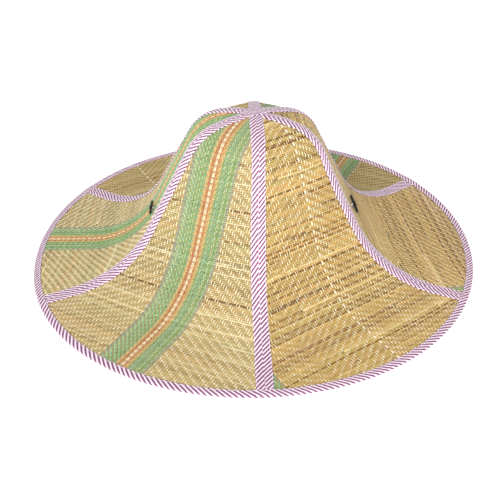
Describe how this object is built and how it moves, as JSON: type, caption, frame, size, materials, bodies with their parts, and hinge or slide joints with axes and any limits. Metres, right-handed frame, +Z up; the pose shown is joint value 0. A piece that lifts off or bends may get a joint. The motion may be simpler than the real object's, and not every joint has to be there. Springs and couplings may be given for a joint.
{
  "type": "folding reed sun hat",
  "caption": "Bell-shaped sun hat of woven reed mat gores with striped bias-taped seams, a bound rim and a toggle for a chin cord on each side.",
  "frame": {"origin": "on the ground under the apex, at the centre of the rim", "axes": "+Z up through the apex, the wearer faces -Y, +X to the right seen from the front"},
  "size_m": [0.45, 0.45, 0.1436],
  "materials": {
    "reed_mat": "woven reed mat, matt with a slight sheen along the reeds, straw yellow with green and orange warp bands",
    "bias_tape": "cotton bias tape, thin slanting plum stripes on pinkish white, matt",
    "thread": "sewing thread, pinkish white, matt",
    "eyelet": "light grey, satin",
    "toggle": "black, slightly glossy",
    "ferrule": "light grey, satin"
  },
  "bodies": {
    "hat": {"front_left_gore": "reed_mat", "front_right_gore": "reed_mat", "right_gore": "reed_mat", "back_right_gore": "reed_mat", "back_left_gore": "reed_mat", "left_gore": "reed_mat", "rim_binding": "bias_tape", "rim_stitching": "thread", "long_seam_tape": "bias_tape", "front_seam_tape": "bias_tape", "front_right_seam_tape": "bias_tape", "back_seam_tape": "bias_tape", "back_left_seam_tape": "bias_tape", "long_seam_lining": "bias_tape", "front_seam_lining": "bias_tape", "front_right_seam_lining": "bias_tape", "back_seam_lining": "bias_tape", "back_left_seam_lining": "bias_tape", "seam_stitching": "thread", "left_eyelet": "eyelet", "right_eyelet": "eyelet"},
    "left_toggle_set": {"left_toggle": "toggle", "left_ferrule": "ferrule"},
    "right_toggle_set": {"right_toggle": "toggle", "right_ferrule": "ferrule"}
  },
  "joints": [
    {"name": "left_toggle_turn", "type": "hinge", "parent": "hat", "child": "left_toggle_set", "pos_m": [-0.10038, 0, 0.04221], "axis": [-0.8464, 0, 0.5326], "range_deg": [-90, 90]},
    {"name": "right_toggle_turn", "type": "hinge", "parent": "hat", "child": "right_toggle_set", "pos_m": [0.10038, 0, 0.04221], "axis": [0.8464, 0, 0.5326], "range_deg": [-90, 90]}
  ]
}
